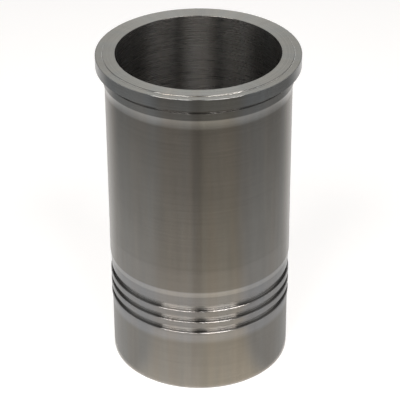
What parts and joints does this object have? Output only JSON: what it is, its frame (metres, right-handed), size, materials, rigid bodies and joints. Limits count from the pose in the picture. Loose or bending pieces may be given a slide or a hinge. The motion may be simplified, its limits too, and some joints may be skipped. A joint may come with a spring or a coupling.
{
  "type": "cylinder liner",
  "caption": "Wet cylinder liner: a turned iron sleeve with a stepped top flange, an upper pilot, a plain barrel, packing grooves near the foot and a honed bore for a piston.",
  "frame": {"origin": "on the bore axis at the lower end face", "axes": "+Z along the bore axis, towards the flange; the part is the same all round, so +X and +Y are free"},
  "size_m": [0.1494, 0.1494, 0.2513],
  "materials": {
    "machined_iron": "turned and ground outside, honed bore, faced flange, bare metal with a thin oil film"
  },
  "bodies": {
    "root": {"cylinder_liner": "machined_iron"}
  },
  "joints": []
}
